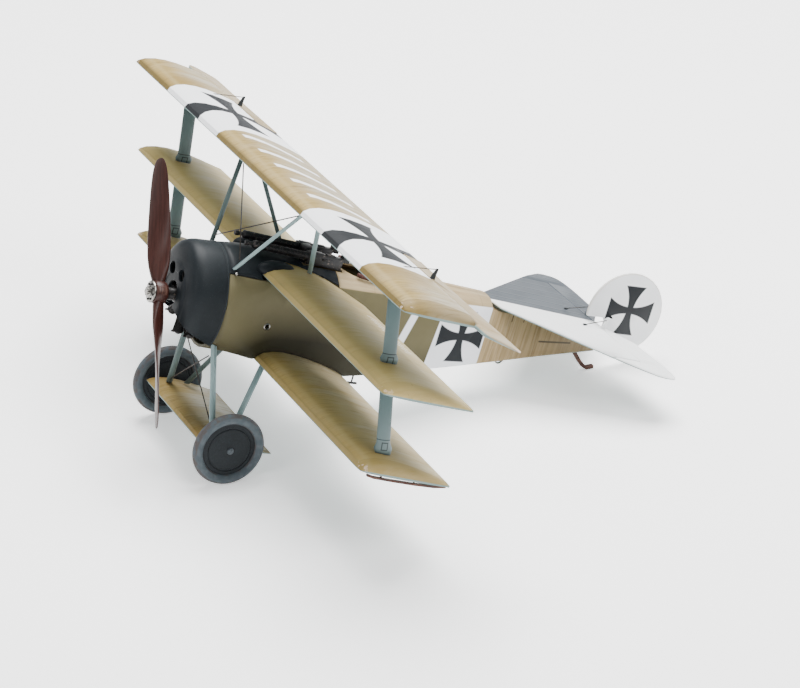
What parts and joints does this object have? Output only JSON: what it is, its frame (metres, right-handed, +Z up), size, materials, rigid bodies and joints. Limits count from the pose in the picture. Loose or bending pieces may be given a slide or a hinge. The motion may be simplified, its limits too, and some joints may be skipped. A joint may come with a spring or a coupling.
{
  "type": "propeller plane model",
  "caption": "Scale display model of a rotary-engined propeller triplane with turning propeller, wheels and hinged control surfaces, resting on its wheels and tail skid.",
  "frame": {"origin": "on the ground, in the middle of the bounding box, under the fuselage", "axes": "+X along the span towards the port wing tip, +Y aft along the ground, +Z up; the nose points along -Y and upwards"},
  "size_m": [0.3034, 0.2462, 0.119],
  "materials": {
    "tan_wing": "streaked tan paint over a smooth moulding",
    "olive_drab": "matt olive paint, streaked ochre behind the white field",
    "slate_metal": "satin dark slate-blue paint",
    "pale_turquoise": "matt pale grey-green paint",
    "white_dope": "matt white paint",
    "mahogany": "satin dark red-brown with a faint grain",
    "polished_steel": "bright metal",
    "engine_black": "near-black with worn light edges",
    "gunmetal": "black with worn edges",
    "tyre_grey": "matt blue-grey, worn brown on the edges",
    "disc_slate": "matt dark slate",
    "brown_leather": "matt red-brown, moulded as padded leather",
    "skid_ash": "satin dark brown, moulded as wood",
    "wire_steel": "dark thin wire"
  },
  "bodies": {
    "airframe": {"upper_wing": "tan_wing", "middle_wing": "tan_wing", "lower_wing": "tan_wing", "axle_wing": "tan_wing", "fuselage_port_half": "olive_drab", "fuselage_starboard_half": "olive_drab", "cockpit_floor": "olive_drab", "forward_decking": "slate_metal", "cowling": "slate_metal", "firewall": "slate_metal", "tailplane": "slate_metal", "upper_strut_port": "pale_turquoise", "upper_strut_starboard": "pale_turquoise", "lower_strut_port": "pale_turquoise", "lower_strut_starboard": "pale_turquoise", "cabane_front_port": "pale_turquoise", "cabane_front_starboard": "pale_turquoise", "cabane_rear_port": "pale_turquoise", "cabane_rear_starboard": "pale_turquoise", "gear_strut_front_port": "pale_turquoise", "gear_strut_front_starboard": "pale_turquoise", "gear_strut_rear_port": "pale_turquoise", "gear_strut_rear_starboard": "pale_turquoise", "instrument_panel": "mahogany", "crankshaft": "polished_steel", "axle": "polished_steel", "control_stick": "engine_black", "rudder_bar": "engine_black", "footstep": "engine_black", "machine_gun_port": "gunmetal", "machine_gun_starboard": "gunmetal", "ammunition_feed": "gunmetal", "cockpit_coaming": "brown_leather", "seat": "brown_leather", "tail_skid": "skid_ash", "wing_skid_port": "skid_ash", "wing_skid_starboard": "skid_ash", "cabane_bracing": "wire_steel", "undercarriage_bracing": "wire_steel", "lifting_loop": "wire_steel"},
    "engine": {"engine_crankcase": "engine_black", "cylinder_1": "engine_black", "cylinder_2": "engine_black", "cylinder_3": "engine_black", "cylinder_4": "engine_black", "cylinder_5": "engine_black", "cylinder_6": "engine_black", "cylinder_7": "engine_black", "cylinder_8": "engine_black", "cylinder_9": "engine_black", "propeller": "mahogany", "propeller_hub": "polished_steel"},
    "wheel_port": {"tyre_port": "tyre_grey", "wheel_disc_port": "disc_slate"},
    "wheel_starboard": {"tyre_starboard": "tyre_grey", "wheel_disc_starboard": "disc_slate"},
    "aileron_port": {"aileron_port": "tan_wing"},
    "aileron_starboard": {"aileron_starboard": "tan_wing"},
    "elevator": {"elevator": "white_dope"},
    "rudder": {"rudder": "white_dope"}
  },
  "joints": [
    {"name": "engine_spin", "type": "hinge", "parent": "airframe", "child": "engine", "pos_m": [0, -0.10954, 0.07312], "axis": [0, 0.9581, -0.2864], "continuous": true},
    {"name": "wheel_port_spin", "type": "hinge", "parent": "airframe", "child": "wheel_port", "pos_m": [0.03375, -0.09384, 0.01537], "axis": [1, 0, 0], "continuous": true},
    {"name": "wheel_starboard_spin", "type": "hinge", "parent": "airframe", "child": "wheel_starboard", "pos_m": [-0.03375, -0.09384, 0.01537], "axis": [1, 0, 0], "continuous": true},
    {"name": "aileron_port_hinge", "type": "hinge", "parent": "airframe", "child": "aileron_port", "pos_m": [0.10833, -0.03543, 0.10528], "axis": [1, 0, 0], "range_deg": [-20, 20]},
    {"name": "aileron_starboard_hinge", "type": "hinge", "parent": "airframe", "child": "aileron_starboard", "pos_m": [-0.10833, -0.03543, 0.10528], "axis": [1, 0, 0], "range_deg": [-20, 20]},
    {"name": "elevator_hinge", "type": "hinge", "parent": "airframe", "child": "elevator", "pos_m": [0, 0.08978, 0.02165], "axis": [1, 0, 0], "range_deg": [-25, 25]},
    {"name": "rudder_hinge", "type": "hinge", "parent": "airframe", "child": "rudder", "pos_m": [0, 0.09668, 0.02583], "axis": [0, 0.2864, 0.9581], "range_deg": [-25, 25]}
  ],
  "couplings": [
    {"joint": "aileron_starboard_hinge", "follows": "aileron_port_hinge", "ratio": -1}
  ]
}
